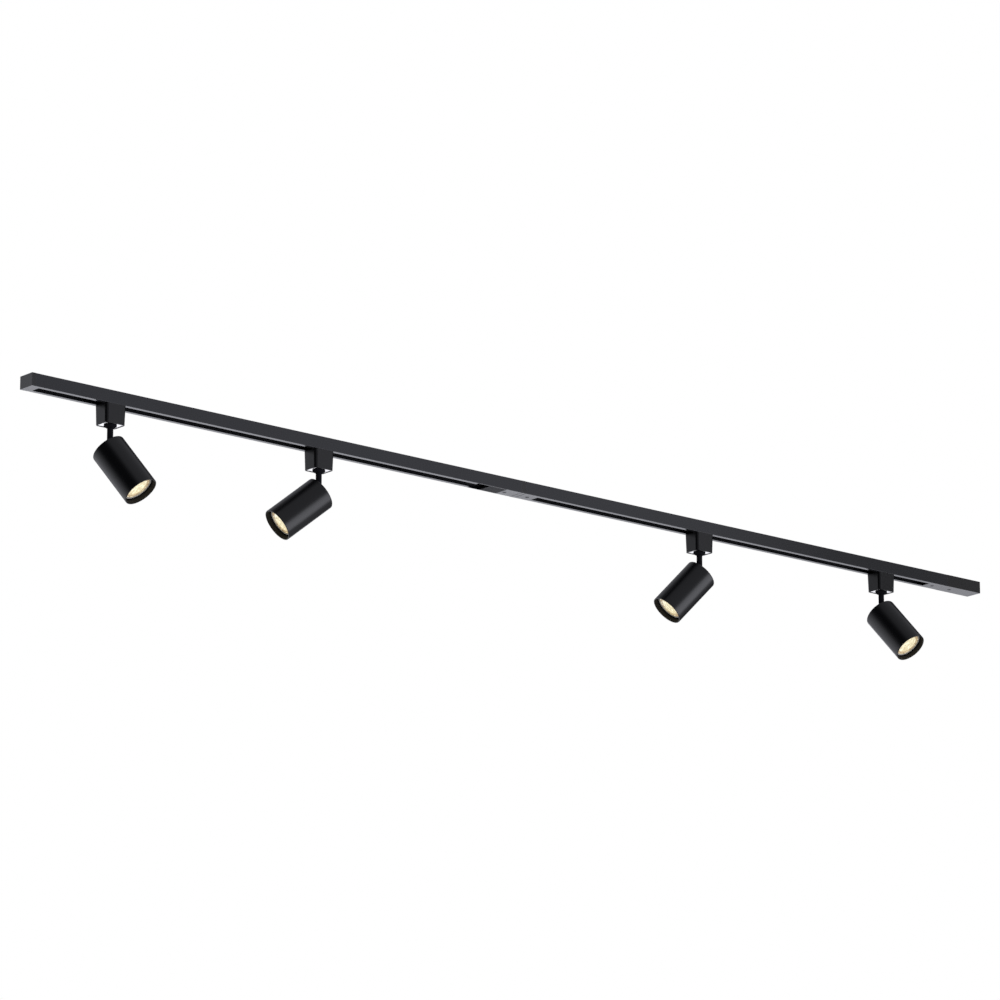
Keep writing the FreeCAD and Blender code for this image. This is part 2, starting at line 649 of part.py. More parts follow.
def make_adapter_housing(number):
    """Tapered box under the rail, open below, with a neck and lugs that hang on the lips."""
    name = "adapter_housing_%d" % number
    body = new_body(name, on_rail(number))
    top = new_sketch(body, "XY_Plane", "housing_top")
    draw_box(top, "-housing_length / 2", "housing_length / 2", "-half_width", "half_width")
    box = pad(body, top, "housing_height")
    box.Reversed = True
    bind(box, TaperAngle="-housing_taper")
    round_edges(body, "housing_corner", is_upright)
    hollow = new_sketch(body, "XY_Plane", "housing_bottom")
    draw_box(hollow, "-cavity_x", "cavity_x", "-cavity_y", "cavity_y")
    pocket(body, hollow, "housing_height - housing_roof")
    across = value_of("cavity_x")
    along = value_of("cavity_y")
    round_edges(body, "cavity_corner", lambda edge: stands_at(edge, across, along))
    low = value_of("housing_bottom")
    round_edges(body, "housing_edge", lambda edge: is_foot(edge, low, across, along))
    neck = new_sketch(body, "XY_Plane", "housing_top")
    draw_box(neck, "-neck_half", "neck_half", "-neck_half", "neck_half")
    pad(body, neck, "neck_tall")
    lugs = new_sketch(body, "XY_Plane", "lip_top + housing_gap")
    draw_box(lugs, "-neck_half", "neck_half", "-half_slot - lug_reach", "half_slot + lug_reach")
    pad(body, lugs, "lug_thick")
    channel = new_sketch(body, "XZ_Plane")
    draw_box(channel, "-blade_wide / 2", "blade_wide / 2",
             "-conductor_drop - blade_thick / 2", "-conductor_drop + blade_thick / 2")
    pocket(body, channel, "2 * neck_width", both_ways=True)
    latch_way = new_sketch(body, "XY_Plane", "housing_top - housing_roof")
    draw_box(latch_way, "latch_inner - latch_gap", "latch_outer + latch_gap",
             "-latch_half - latch_gap / 2", "latch_half + latch_gap / 2")
    pocket(body, latch_way, "housing_roof")
    window = new_sketch(body, "YZ_Plane", "cavity_x - latch_gap")
    draw_box(window, "-tab_width / 2 - latch_gap", "tab_width / 2 + latch_gap",
             "window_low", "window_high")
    pocket(body, window, "housing_wall + 2 * latch_gap")
    sub_part(name, body)


def make_adapter_plate(number):
    """Bright base plate inside the housing's rim, with the stem's hole."""
    name = "adapter_plate_%d" % number
    body = new_body(name, on_rail(number))
    sheet = new_sketch(body, "XY_Plane", "plate_low")
    draw_box(sheet, "-cavity_x + plate_gap", "cavity_x - plate_gap",
             "-cavity_y + plate_gap", "cavity_y - plate_gap")
    pad(body, sheet, "plate_sheet")
    round_edges(body, "cavity_corner", is_upright)
    hole = new_sketch(body, "XY_Plane", "plate_low")
    draw_circle(hole, "0", "0", "stem_radius + swivel_gap")
    pocket(body, hole, "plate_sheet")
    sub_part(name, body)


def make_adapter_contacts(number):
    """Pair of spring blades in the neck that reach for the rail's conductors."""
    name = "adapter_contacts_%d" % number
    blades = []
    for word, low, high in (("near", "-conductor_in + blade_gap", "-blade_root"),
                            ("far", "blade_root", "conductor_in - blade_gap")):
        blades.append(block("%s_%s" % (name, word), "-blade_wide / 2", "blade_wide / 2", low, high,
                            "-conductor_drop - blade_thick / 2",
                            "-conductor_drop + blade_thick / 2"))
    pair = group(name, blades)
    pair.setExpression("Placement", on_rail(number))
    sub_part(name, pair)


def make_latch(number):
    """Sliding latch: a tip that stands in the slot, a leg and a thumb tab."""
    name = "latch_%d" % number
    tip = block(name + "_tip", "latch_inner", "latch_outer", "-latch_half", "latch_half",
                "latch_bridge_low", "latch_top")
    leg = block(name + "_leg", "latch_outer", "latch_outer + latch_leg",
                "-latch_leg_width / 2", "latch_leg_width / 2",
                "leg_low", "latch_bridge_low + latch_leg")
    tab = block(name + "_tab", "latch_outer", "housing_length / 2 + tab_reach",
                "-tab_width / 2", "tab_width / 2", "leg_low", "leg_low + tab_tall")
    piece = fuse(name, [tip, leg, tab])
    piece.setExpression("Placement", on_rail(number))
    sub_part(name, piece)


def make_stem(number):
    """Turned stem with its conical hub, a wire bore, a ball end and the hinge pin's hole."""
    name = "stem_%d" % number
    body = new_body(name, on_swivel(number))
    profile = new_sketch(body, "XZ_Plane")
    draw_outline(profile, [
        ("0", "-stem_radius"), ("stem_radius", "0"), ("stem_radius", "hub_top - hub_tall"),
        ("hub_foot", "hub_top - hub_tall"), ("hub_radius", "hub_top - hub_rim"),
        ("hub_radius", "hub_top"), ("stem_radius", "hub_top"),
        ("stem_radius", "stem_top"), ("stem_bore", "stem_top"), ("stem_bore", "stem_solid"),
        ("0", "stem_solid")], arcs=(0,))
    revolve(body, profile)
    hole = new_sketch(body, "XZ_Plane")
    draw_circle(hole, "0", "0", "pin_radius + pin_gap")
    pocket(body, hole, "4 * stem_radius", both_ways=True)
    sub_part(name, body)


def make_swivel_nut(number):
    """Ring nut that holds the stem up on the base plate."""
    name = "swivel_nut_%d" % number
    body = new_body(name, on_swivel(number))
    ring = new_sketch(body, "XY_Plane", "nut_low")
    draw_circle(ring, "0", "0", "nut_radius")
    draw_circle(ring, "0", "0", "stem_radius")
    pad(body, ring, "nut_tall")
    sub_part(name, body)


def make_can(number):
    """Lamp can: a tube with a back wall, a slot for the stem and two hinge bosses."""
    name = "can_%d" % number
    body = new_body(name, on_lamp(number))
    profile = new_sketch(body, "XZ_Plane")
    draw_outline(profile, [
        ("0", "hinge_inset"), ("0", "back_inner"), ("can_inner", "back_inner"),
        ("can_inner", "can_front"), ("can_radius", "can_front"), ("can_radius", "hinge_inset")])
    revolve(body, profile)
    inner = value_of("can_inner")
    back = value_of("hinge_inset")
    round_edges(body, "can_edge", lambda edge: is_rim(edge, back, inner))
    front = value_of("can_front")
    round_edges(body, "can_lip", lambda edge: is_rim(edge, front, 0.9 * inner))
    bosses = new_sketch(body, "XY_Plane", "holder_top")
    draw_box(bosses, "-boss_width / 2", "boss_width / 2", "yoke_half", "yoke_half + boss_thick")
    draw_box(bosses, "-boss_width / 2", "boss_width / 2", "-yoke_half - boss_thick", "-yoke_half")
    pad(body, bosses, "back_inner - holder_top")
    slot = new_sketch(body, "XZ_Plane")
    draw_box(slot, "-yoke_half", "slot_reach", "-yoke_half", "2 * hinge_inset")
    pocket(body, slot, "2 * yoke_half", both_ways=True)
    hole = new_sketch(body, "XZ_Plane")
    draw_circle(hole, "0", "0", "pin_radius")
    pocket(body, hole, "2 * yoke_half + 4 * boss_thick", both_ways=True)
    sub_part(name, body)


def make_hinge_pin(number):
    """Pin that is pressed in the can's bosses and runs in the stem."""
    name = "hinge_pin_%d" % number
    body = new_body(name, on_lamp(number))
    circle = new_sketch(body, "XZ_Plane")
    draw_circle(circle, "0", "0", "pin_radius")
    pad(body, circle, "2 * (yoke_half + boss_thick)", both_ways=True)
    sub_part(name, body)


def make_lamp_holder(number):
    """Round lamp holder under the bosses, with two sockets for the bulb's pins."""
    name = "lamp_holder_%d" % number
    body = new_body(name, on_lamp(number))
    disc = new_sketch(body, "XY_Plane", "bulb_back")
    draw_circle(disc, "0", "0", "holder_radius")
    pad(body, disc, "holder_tall")
    sockets = new_sketch(body, "XY_Plane", "bulb_back")
    draw_circle(sockets, "0", "-bulb_pin_pitch / 2", "bulb_pin_radius")
    draw_circle(sockets, "0", "bulb_pin_pitch / 2", "bulb_pin_radius")
    pocket(body, sockets, "bulb_pin_length")
    sub_part(name, body)


def make_bulb(number):
    """Reflector bulb: a rim, a cone, a base and two pins, with a seat for its lens."""
    name = "bulb_%d" % number
    body = new_body(name, on_lamp(number))
    profile = new_sketch(body, "XZ_Plane")
    draw_outline(profile, [
        ("0", "lens_high"), ("lens_radius", "lens_high"), ("lens_radius", "bulb_front"),
        ("bulb_radius", "bulb_front"), ("bulb_radius", "bulb_front + bulb_rim"),
        ("bulb_waist", "bulb_back - bulb_foot_tall"), ("bulb_foot", "bulb_back - bulb_foot_tall"),
        ("bulb_foot", "bulb_back"), ("0", "bulb_back")])
    revolve(body, profile)
    pins = new_sketch(body, "XY_Plane", "bulb_back")
    draw_circle(pins, "0", "-bulb_pin_pitch / 2", "bulb_pin_radius")
    draw_circle(pins, "0", "bulb_pin_pitch / 2", "bulb_pin_radius")
    pad(body, pins, "bulb_pin_length")
    sub_part(name, body)


def make_lens(number):
    """Crowned lens in the bulb's rim."""
    name = "lens_%d" % number
    body = new_body(name, on_lamp(number))
    profile = new_sketch(body, "XZ_Plane")
    draw_outline(profile, [
        ("0", "lens_low"), ("lens_radius", "lens_edge"), ("lens_radius", "lens_high"),
        ("0", "lens_high")], arcs=(0,))
    revolve(body, profile)
    sub_part(name, body)


def make_head(number):
    """All pieces of one spot head."""
    for maker in (make_adapter_housing, make_adapter_plate, make_adapter_contacts, make_latch,
                  make_stem, make_swivel_nut, make_can, make_hinge_pin, make_lamp_holder,
                  make_bulb, make_lens):
        maker(number)


# ---------------------------------------------------------------- build, check and write

for rail_letter, rail_start, has_notch in (("a", "rail_a_start", True),
                                           ("b", "rail_b_start", False)):
    make_rail(rail_letter, rail_start, has_notch)
    make_insulators(rail_letter, rail_start)
    make_conductors(rail_letter, rail_start)
make_end_cap()
make_joiner()
make_live_end()
make_track_screws()
for head in range(1, 5):
    make_head(head)
DOC.recompute()

for item in DOC.Objects:
    if "Invalid" in item.State or "Error" in item.State:
        raise RuntimeError("%s failed: %s" % (item.Name, item.State))
for item in SUB_PARTS:
    if item.Shape.isNull() or not item.Shape.isValid() or not item.Shape.Solids:
        raise RuntimeError("%s has no valid solid" % item.Label)

os.makedirs("parts", exist_ok=True)
for item in SUB_PARTS:
    item.Shape.exportStep(os.path.join("parts", item.Label + ".step"))
print("%d sub-parts written" % len(SUB_PARTS))
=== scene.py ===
"""Track lighting fixture: a two-rail ceiling track that carries four swivelling spot lamps.

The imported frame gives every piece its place. This scene dresses the pieces in their
finishes, builds finer meshes for the lenses and the screws, and sets up the floor,
the light and the camera.
"""

import json
import logging
import math
from dataclasses import dataclass, field
from enum import Enum
from typing import Any, Callable, Iterable, Sequence, Union

import bmesh
import bpy
from mathutils import Matrix, Vector


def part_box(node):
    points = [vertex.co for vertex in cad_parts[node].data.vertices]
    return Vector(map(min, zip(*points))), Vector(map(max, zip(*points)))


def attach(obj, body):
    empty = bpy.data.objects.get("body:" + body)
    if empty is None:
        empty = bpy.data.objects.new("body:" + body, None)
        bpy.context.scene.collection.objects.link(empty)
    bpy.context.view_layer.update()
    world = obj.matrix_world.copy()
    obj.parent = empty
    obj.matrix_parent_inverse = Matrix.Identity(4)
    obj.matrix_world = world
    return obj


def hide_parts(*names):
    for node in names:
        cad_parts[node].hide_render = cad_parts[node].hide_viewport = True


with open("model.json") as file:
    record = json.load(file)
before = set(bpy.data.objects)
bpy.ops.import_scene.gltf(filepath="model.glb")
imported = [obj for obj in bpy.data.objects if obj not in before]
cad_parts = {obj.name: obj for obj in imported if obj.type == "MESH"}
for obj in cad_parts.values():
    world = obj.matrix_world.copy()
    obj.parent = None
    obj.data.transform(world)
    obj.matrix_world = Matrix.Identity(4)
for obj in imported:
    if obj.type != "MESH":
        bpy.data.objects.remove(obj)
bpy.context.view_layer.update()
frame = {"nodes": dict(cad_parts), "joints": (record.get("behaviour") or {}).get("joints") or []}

LOG = logging.getLogger("fixture")
MM = 0.001
FACET = "facet"
HEADS = 4

Band = tuple[float, float]
Triple = tuple[float, float, float]
Colour = Triple
Value = Union["Sock", float, Sequence[float]]


# ---------------------------------------------------------------- shader pages


class Sock:
    """One output socket of a node tree, with arithmetic that adds Math nodes."""

    def __init__(self, page: "Page", plug: bpy.types.NodeSocket) -> None:
        """Keeps the socket and the page that its node is on."""
        self.page = page
        self.plug = plug

    def maths(self, operation: str, *values: Value) -> "Sock":
        """Adds one Math node.

        Args:
            operation: the Math node's operation.
            values: its inputs in order.

        Returns:
            The node's output.
        """
        return self.page.node("ShaderNodeMath", {"operation": operation}, dict(enumerate(values)))

    def __add__(self, other: Value) -> "Sock":
        """The sum."""
        return self.maths("ADD", self, other)

    def __radd__(self, other: Value) -> "Sock":
        """The sum, with the number first."""
        return self.maths("ADD", other, self)

    def __sub__(self, other: Value) -> "Sock":
        """The difference."""
        return self.maths("SUBTRACT", self, other)

    def __rsub__(self, other: Value) -> "Sock":
        """The difference, with the number first."""
        return self.maths("SUBTRACT", other, self)

    def __mul__(self, other: Value) -> "Sock":
        """The product."""
        return self.maths("MULTIPLY", self, other)

    def __rmul__(self, other: Value) -> "Sock":
        """The product, with the number first."""
        return self.maths("MULTIPLY", other, self)

    def __abs__(self) -> "Sock":
        """The size without its sign."""
        return self.maths("ABSOLUTE", self)

    def higher(self, other: Value) -> "Sock":
        """The higher of two values."""
        return self.maths("MAXIMUM", self, other)

    def lower(self, other: Value) -> "Sock":
        """The lower of two values."""
        return self.maths("MINIMUM", self, other)


class Page:
    """A node tree that is being written."""

    def __init__(self, tree: bpy.types.NodeTree) -> None:
        """Clears the tree."""
        self.tree = tree
        tree.nodes.clear()

    @staticmethod
    def socket(sockets: Any, key: Union[str, int]) -> bpy.types.NodeSocket:
        """Finds a socket.

        Args:
            sockets: a node's inputs or outputs.
            key: a place in the list, an identifier or a name.

        Returns:
            The socket.
        """
        if isinstance(key, int):
            return sockets[key]
        named = [each for each in sockets if each.identifier == key]
        return named[0] if named else sockets[key]

    def node(self, kind: str, settings: Union[dict[str, Any], None] = None,
             inputs: Union[dict[Union[str, int], Value], None] = None,
             out: Union[str, int, None] = 0) -> Union["Sock", None]:
        """Adds a node of any type.

        Args:
            kind: the node's type.
            settings: its own settings, which are set first.
            inputs: the values or links of its sockets.
            out: the output that is wanted, or None for a node that ends the tree.

        Returns:
            That output.
        """
        made = self.tree.nodes.new(kind)
        for name, setting in (settings or {}).items():
            setattr(made, name, setting)
        for key, value in (inputs or {}).items():
            target = self.socket(made.inputs, key)
            if isinstance(value, Sock):
                self.tree.links.new(value.plug, target)
            elif isinstance(value, (int, float)):
                target.default_value = value
            else:
                wanted = len(target.default_value)
                target.default_value = (tuple(value) + (1.0,))[:wanted]
        return None if out is None else Sock(self, self.socket(made.outputs, out))

    def place(self) -> Sock:
        """The point on the piece, in metres and at rest."""
        return self.node("ShaderNodeTexCoord", out="Object")

    def stretch(self, where: Sock, factors: Sequence[float]) -> Sock:
        """Scales a point's three numbers by three factors."""
        return self.node("ShaderNodeVectorMath", {"operation": "MULTIPLY"}, {0: where, 1: factors})

    def along(self, where: Sock, axis: Sequence[float]) -> Sock:
        """How far a point lies along an axis."""
        return self.node("ShaderNodeVectorMath", {"operation": "DOT_PRODUCT"},
                         {0: where, 1: axis}, "Value")

    def noise(self, where: Sock, scale: float, detail: float = 2.0) -> Sock:
        """Soft noise of a scale, from 0 to 1."""
        return self.node("ShaderNodeTexNoise", inputs={"Vector": where, "Scale": scale,
                                                       "Detail": detail})

    def ease(self, value: Sock, low: float, high: float) -> Sock:
        """A smooth step from 0 at low to 1 at high."""
        if low > high:
            return 1.0 - self.ease(value, high, low)
        return self.node("ShaderNodeMapRange", {"interpolation_type": "SMOOTHSTEP"},
                         {"Value": value, "From Min": low, "From Max": high})

    def tint(self, mask: Value, first: Value, second: Value) -> Sock:
        """A colour between two, by a mask."""
        return self.node("ShaderNodeMix", {"data_type": "RGBA"},
                         {"Factor_Float": mask, "A_Color": first, "B_Color": second},
                         "Result_Color")

    def bump(self, height: Sock, depth: float) -> Sock:
        """A normal that follows a height.

        Args:
            height: the relief, from 0 to 1.
            depth: how deep the relief is, in metres.

        Returns:
            The normal.
        """
        return self.node("ShaderNodeBump", inputs={"Height": height, "Distance": depth,
                                                   "Strength": 1.0})

    def edge_gap(self, where: Sock, low: Vector, high: Vector) -> Sock:
        """How far a point is from the nearest edge of a box.

        Args:
            where: the point.
            low: the box's lowest corner.
            high: its highest corner.

        Returns:
            The second smallest of the distances to the box's faces, in metres.
        """
        gaps = []
        for turn in range(3):
            axis = [1.0 if each == turn else 0.0 for each in range(3)]
            middle = (low[turn] + high[turn]) / 2
            gaps.append((high[turn] - low[turn]) / 2 - abs(self.along(where, axis) - middle))
        near, far = gaps[0].lower(gaps[1]), gaps[0].higher(gaps[1])
        return near.higher(far.lower(gaps[2]))

    def surface(self, **values: Value) -> None:
        """Ends the page with its shader.

        Args:
            values: the shader's inputs, with an underscore for each space in a name.
        """
        inputs = {name.replace("_", " "): value for name, value in values.items()}
        shader = self.node("ShaderNodeBsdfPrincipled", inputs=inputs)
        self.node("ShaderNodeOutputMaterial", inputs={"Surface": shader}, out=None)


# ---------------------------------------------------------------- where the lamps point


@dataclass(frozen=True)
class LampFrame:
    """A lamp's own frame: its origin on the tilt axis, with the beam along minus Z."""

    origin: Vector
    turn: Matrix

    @classmethod
    def of_lamp(cls, number: int) -> "LampFrame":
        """Reads a lamp's frame from its tilt joint.

        Args:
            number: the head's number along the track.

        Returns:
            The lamp's frame at rest.
        """
        joint = next(each for each in frame["joints"] if each["name"] == f"head_{number}_tilt")
        hinge = Vector(joint["axis"])
        swivel = math.atan2(hinge.x, -hinge.y)
        tilt = -math.radians(joint["range_deg"][0])
        turn = Matrix.Rotation(swivel, 3, "Z") @ Matrix.Rotation(-tilt, 3, "Y")
        return cls(Vector(joint["pos_m"]), turn)

    @property
    def axis(self) -> Vector:
        """The lamp's own Z axis, which points away from its beam."""
        return self.turn @ Vector((0.0, 0.0, 1.0))

    def measure(self, node: str) -> tuple[float, float, float]:
        """Measures a round piece in the lamp's frame.

        Args:
            node: the CAD node.

        Returns:
            Its radius, and its lowest and highest place along the lamp's axis.
        """
        back = self.turn.transposed()
        points = [back @ (each.co - self.origin) for each in frame["nodes"][node].data.vertices]
        radius = max(point.xy.length for point in points)
        heights = [point.z for point in points]
        return radius, min(heights), max(heights)

    def to_world(self, point: Vector) -> Vector:
        """Turns a point of the lamp's frame into a place in the scene."""
        return self.origin + self.turn @ point


# ---------------------------------------------------------------- finishes


Mask = Union[Sock, None]
Writer = Union[Callable[[Page], Sock], None]


def scaled(numbers: Sequence[float], factor: float) -> list[float]:
    """Multiplies each number by a factor."""
    return [factor * each for each in numbers]


@dataclass(frozen=True)
class Finish:
    """What every finish has: a name, a colour, a roughness and a refractive index."""

    name: str
    colour: Colour
    roughness: float
    index: float = 1.5

    def lay(self, page: Page, edge: Mask, bore: Mask) -> None:
        """Writes the finish's shader; each finish has its own.

        Args:
            page: the tree to write in.
            edge: the distance to the nearest edge, where a finish lays its wear or its darker
                tone, or None.
            bore: 1 inside a bore that gets painted shade and 0 outside, or None.
        """
        raise NotImplementedError

    def dress(self, piece: bpy.types.Object, edge: Writer = None, bore: Writer = None) -> None:
        """Puts the finish on every material slot of a piece.

        Args:
            piece: the piece or CAD node.
            edge: writes the distance to the nearest edge, where a finish lays its wear or its
                darker tone.
            bore: writes where the piece's bore is, which gets painted shade.
        """
        made = bpy.data.materials.new(f"{self.name} {piece.name}")
        made.use_nodes = True
        page = Page(made.node_tree)
        self.lay(page, edge(page) if edge else None, bore(page) if bore else None)
        if not piece.material_slots:
            piece.data.materials.append(made)
        for each in piece.material_slots:
            each.material = made


@dataclass(frozen=True)
class PowderCoat(Finish):
    """Satin black powder coat over aluminium, with a fine skin, rubbed edges and painted shade in
    a can's bore.

    In every finish a scale counts features to the metre, a band gives where a mask is 0 and
    where it is 1, and a rough or a tint is how strongly a mask changes the finish.
    """

    skin: float = 0.45 * MM
    depth: float = 0.004 * MM
    drawn: bool = False
    lighten: float = 1.5
    cloud_scale: float = 9.0
    cloud_rough: float = 0.05
    line_scales: Triple = (3.0, 1400.0, 1400.0)
    line_share: float = 0.25
    dust: Colour = (0.16, 0.155, 0.15)
    dust_scale: float = 1700.0
    dust_band: Band = (0.73, 0.80)
    dust_tint: float = 0.35
    dust_rough: float = 0.18
    drift_scale: float = 60.0
    drift_band: Band = (0.40, 0.65)
    metal: Colour = (0.10, 0.10, 0.11)
    rub_band: Band = (0.45 * MM, 0.05 * MM)
    rub_scale: float = 140.0
    patch_band: Band = (0.46, 0.66)
    rub_tint: float = 0.8
    rub_rough: float = -0.06
    # Painted shade: the near-black tone laid inside a can's bore.
    bore_painted_shade: Colour = (0.0004, 0.0004, 0.0006)
    bore_rough: float = 0.35

    def lay(self, page: Page, edge: Mask, bore: Mask) -> None:
        """Writes the coat, its skin, its drawing lines, its dust, its rubbed edges and the painted
        shade in its bore.
        """
        where = page.place()
        cloud = page.noise(where, self.cloud_scale, 4.0)
        skin = page.noise(where, 1.0 / self.skin)
        if self.drawn:
            lines = page.noise(page.stretch(where, self.line_scales), 1.0)
            skin = (1.0 - self.line_share) * skin + self.line_share * lines
        dust = page.ease(page.noise(where, self.dust_scale, 1.0), *self.dust_band)
        dust = dust * page.ease(page.noise(where, self.drift_scale), *self.drift_band)
        tone = page.tint(cloud, self.colour, scaled(self.colour, self.lighten))
        tone = page.tint(self.dust_tint * dust, tone, self.dust)
        rough = self.roughness + self.cloud_rough * (cloud - 0.5) + self.dust_rough * dust
        if edge is not None:
            rub = page.ease(edge, *self.rub_band)
            rub = rub * page.ease(page.noise(where, self.rub_scale, 3.0), *self.patch_band)
            tone = page.tint(self.rub_tint * rub, tone, self.metal)
            rough = rough + self.rub_rough * rub
        # Painted shade: inside the bore the coat is darkened to the near-black tone.
        if bore is not None:
            tone = page.tint(bore, tone, self.bore_painted_shade)
            rough = rough + self.bore_rough * bore
        page.surface(Base_Color=tone, Roughness=rough, IOR=self.index,
                     Normal=page.bump(skin, self.depth))


@dataclass(frozen=True)
class Moulding(Finish):
    """Black moulded plastic: a spark-eroded skin, flow marks and shiny touched edges."""

    skin: float = 0.22 * MM
    depth: float = 0.006 * MM
    skin_rough: float = 0.05
    lighten: float = 1.6
    flow_scales: Triple = (18.0, 40.0, 40.0)
    flow_rough: float = 0.07
    speck: Colour = (0.12, 0.12, 0.12)
    speck_scale: float = 2100.0
    speck_band: Band = (0.74, 0.80)
    speck_tint: float = 0.3
    touch_lighten: float = 2.6
    touch_band: Band = (0.8 * MM, 0.1 * MM)
    touch_scale: float = 90.0
    patch_band: Band = (0.40, 0.62)
    touch_tint: float = 0.5
    touch_rough: float = -0.10

    def lay(self, page: Page, edge: Mask, bore: Mask) -> None:
        """Writes the plastic, its skin, its flow marks and its edges."""
        where = page.place()
        flow = page.noise(page.stretch(where, self.flow_scales), 1.0, 3.0)
        skin = page.noise(where, 1.0 / self.skin, 3.0)
        specks = page.ease(page.noise(where, self.speck_scale, 1.0), *self.speck_band)
        tone = page.tint(flow, self.colour, scaled(self.colour, self.lighten))
        tone = page.tint(self.speck_tint * specks, tone, self.speck)
        rough = self.roughness + self.flow_rough * (flow - 0.5) + self.skin_rough * (skin - 0.5)
        if edge is not None:
            touched = page.ease(edge, *self.touch_band)
            touched = touched * page.ease(page.noise(where, self.touch_scale, 3.0),
                                          *self.patch_band)
            rough = rough + self.touch_rough * touched
            tone = page.tint(self.touch_tint * touched, tone,
                             scaled(self.colour, self.touch_lighten))
        page.surface(Base_Color=tone, Roughness=rough, IOR=self.index,
                     Normal=page.bump(skin, self.depth))


@dataclass(frozen=True)
class Metal(Finish):
    """Bare or plated metal, brushed along one axis and stained in patches."""

    stain: Colour = (0.3, 0.3, 0.3)
    line_scales: Triple = (6.0, 1300.0, 1300.0)
    line_rough: float = 0.14
    depth: float = 0.003 * MM
    patch_scale: float = 45.0
    patch_band: Band = (0.42, 0.75)
    patch_tint: float = 0.5
    patch_rough: float = 0.10
    edge_band: Band = (0.7 * MM, 0.1 * MM)
    edge_tint: float = 0.6

    def lay(self, page: Page, edge: Mask, bore: Mask) -> None:
        """Writes the metal, its brushing, its stains and its darker edges."""
        where = page.place()
        lines = page.noise(page.stretch(where, self.line_scales), 1.0, 3.0)
        patch = page.ease(page.noise(where, self.patch_scale, 4.0), *self.patch_band)
        tone = page.tint(self.patch_tint * patch, self.colour, self.stain)
        rough = self.roughness + self.line_rough * (lines - 0.5) + self.patch_rough * patch
        # Darker towards the edges, blended toward the stain colour.
        if edge is not None:
            edge_darkening = page.ease(edge, *self.edge_band)
            tone = page.tint(self.edge_tint * edge_darkening, tone, self.stain)
        page.surface(Base_Color=tone, Roughness=rough, Metallic=1.0,
                     Normal=page.bump(lines, self.depth))


@dataclass(frozen=True)
class Glaze(Finish):
    """Fired white clay or moulding, with faint specks and a soft skin."""

    warm: Colour = (1.0, 0.95, 0.86)
    pool_scale: float = 120.0
    pool_rough: float = 0.1
    depth: float = 0.02 * MM
    fleck: Colour = (0.45, 0.38, 0.28)
    fleck_scale: float = 1500.0
    fleck_band: Band = (0.70, 0.78)
    fleck_tint: float = 0.5

    def lay(self, page: Page, edge: Mask, bore: Mask) -> None:
        """Writes the glaze and its specks."""
        where = page.place()
        pool = page.noise(where, self.pool_scale, 3.0)
        fleck = page.ease(page.noise(where, self.fleck_scale, 1.0), *self.fleck_band)
        pooled = [one * other for one, other in zip(self.colour, self.warm)]
        tone = page.tint(pool, self.colour, pooled)
        tone = page.tint(self.fleck_tint * fleck, tone, self.fleck)
        page.surface(Base_Color=tone, Roughness=self.roughness + self.pool_rough * (pool - 0.5),
                     IOR=self.index, Normal=page.bump(pool, self.depth))


@dataclass(frozen=True)
class LitLens(Finish):
    """A lit lens: nearly white on one side, yellow below, tan at the far rim.

    Its colour is the whitest, and its seat is the darker ring where the lens meets its cell.
    The bands across it are in reaches and the seat's are in radii.
    """

    middle: Colour = (1.0, 0.92, 0.60)
    low: Colour = (1.0, 0.83, 0.45)
    rim: Colour = (0.62, 0.50, 0.32)
    valley: Colour = (0.36, 0.25, 0.11)
    spark: Colour = (1.25, 1.20, 1.0)
    seat: Colour = (0.34, 0.21, 0.10)
    glass: tuple[Colour, Colour] = ((0.30, 0.26, 0.18), (0.45, 0.42, 0.34))
    grain_scale: float = 240.0
    patch_scale: float = 120.0
    patch_shift: float = 0.9
    patch_rough: float = 0.05
    rim_band: Band = (-0.45, -0.95)
    white_band: Band = (0.25, 0.8)
    valley_band: Band = (0.60, 0.44)
    spark_band: Band = (0.56, 0.72)
    seat_inside: Band = (0.76, 0.84)
    seat_outside: Band = (0.97, 0.91)
    seat_tint: float = 0.85
    strength: float = 0.9
    reach: float = 22.5 * MM
    radius: float = 24.0 * MM
    centre: Vector = Vector((0.0, 0.0, 0.0))
    bright_way: Vector = Vector((-0.74, 0.60, 0.30))
    down_way: Vector = Vector((0.16, 0.19, -0.97))

    def lay(self, page: Page, edge: Mask, bore: Mask) -> None:
        """Writes the glow, which fades across the lens, its facets and its seat."""
        where = page.place()
        patch = page.noise(where, self.patch_scale)
        grain = page.noise(where, self.grain_scale, 1.0)
        facet = page.node("ShaderNodeAttribute", {"attribute_name": FACET}, out="Fac")
        down = page.along(where, self.down_way) - self.down_way.dot(self.centre)
        across = page.along(where, self.bright_way) - self.bright_way.dot(self.centre)
        across = across + self.patch_shift * self.reach * (patch - 0.5)
        glow = page.tint(page.ease(down, 0.0, self.reach), self.middle, self.low)
        glow = page.tint(page.ease(across, *scaled(self.rim_band, self.reach)), glow, self.rim)
        glow = page.tint(page.ease(across, *scaled(self.white_band, self.reach)),
                         glow, self.colour)
        glow = page.tint((1.0 - facet) * page.ease(grain, *self.valley_band), glow, self.valley)
        glow = page.tint(page.ease(grain, *self.spark_band) * facet, glow, self.spark)
        spread = page.node("ShaderNodeVectorMath", {"operation": "DISTANCE"},
                           {0: where, 1: self.centre}, "Value")
        seat = page.ease(spread, *scaled(self.seat_inside, self.radius))
        seat = seat * page.ease(spread, *scaled(self.seat_outside, self.radius))
        glow = page.tint(self.seat_tint * seat, glow, self.seat)
        page.surface(Base_Color=page.tint(facet, *self.glass), IOR=self.index,
                     Roughness=self.roughness + self.patch_rough * (patch - 0.5),
                     Emission_Color=glow, Emission_Strength=self.strength)


